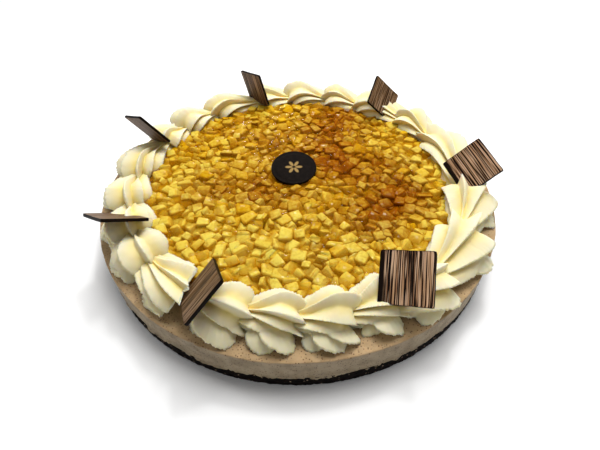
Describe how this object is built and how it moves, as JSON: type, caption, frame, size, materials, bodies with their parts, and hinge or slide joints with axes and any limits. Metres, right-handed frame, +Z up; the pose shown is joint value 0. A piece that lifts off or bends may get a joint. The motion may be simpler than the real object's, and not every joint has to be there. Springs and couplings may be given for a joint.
{
  "type": "apple pie",
  "caption": "Round chilled apple pie: cocoa crumb base, cinnamon mousse, apple dice in jelly, a ring of piped cream shells and striped chocolate squares.",
  "frame": {"origin": "centre of the underside, which lies on the table", "axes": "+Z up out of the pie's top; -Y toward the front, where the picture was taken from; +X to its right"},
  "size_m": [0.28, 0.28, 0.0684],
  "materials": {
    "cocoa_crumb": "matte, crumbly",
    "mousse": "soft matte, speckled with cinnamon",
    "apple": "wet, glazed with jelly",
    "cream": "satin whipped cream",
    "striped_chocolate": "satin dark chocolate with milk chocolate stripes",
    "dark_chocolate": "satin, almost black"
  },
  "bodies": {
    "root": {"chocolate_base": "cocoa_crumb", "cinnamon_mousse": "mousse", "cream_shell_01": "cream", "cream_shell_02": "cream", "cream_shell_03": "cream", "cream_shell_04": "cream", "cream_shell_05": "cream", "cream_shell_06": "cream", "cream_shell_07": "cream", "cream_shell_08": "cream", "cream_shell_09": "cream", "cream_shell_10": "cream", "cream_shell_11": "cream", "cream_shell_12": "cream", "cream_shell_13": "cream", "cream_shell_14": "cream", "cream_shell_15": "cream", "cream_shell_16": "cream", "cream_shell_17": "cream", "cream_shell_18": "cream", "cream_shell_19": "cream", "cream_shell_20": "cream", "cream_shell_21": "cream", "apple_dice": "apple", "chocolate_square_1": "striped_chocolate", "chocolate_square_2": "striped_chocolate", "chocolate_square_3": "striped_chocolate", "chocolate_square_4": "striped_chocolate", "chocolate_square_5": "striped_chocolate", "chocolate_square_6": "striped_chocolate", "chocolate_square_7": "striped_chocolate", "chocolate_disc": "dark_chocolate"}
  },
  "joints": []
}
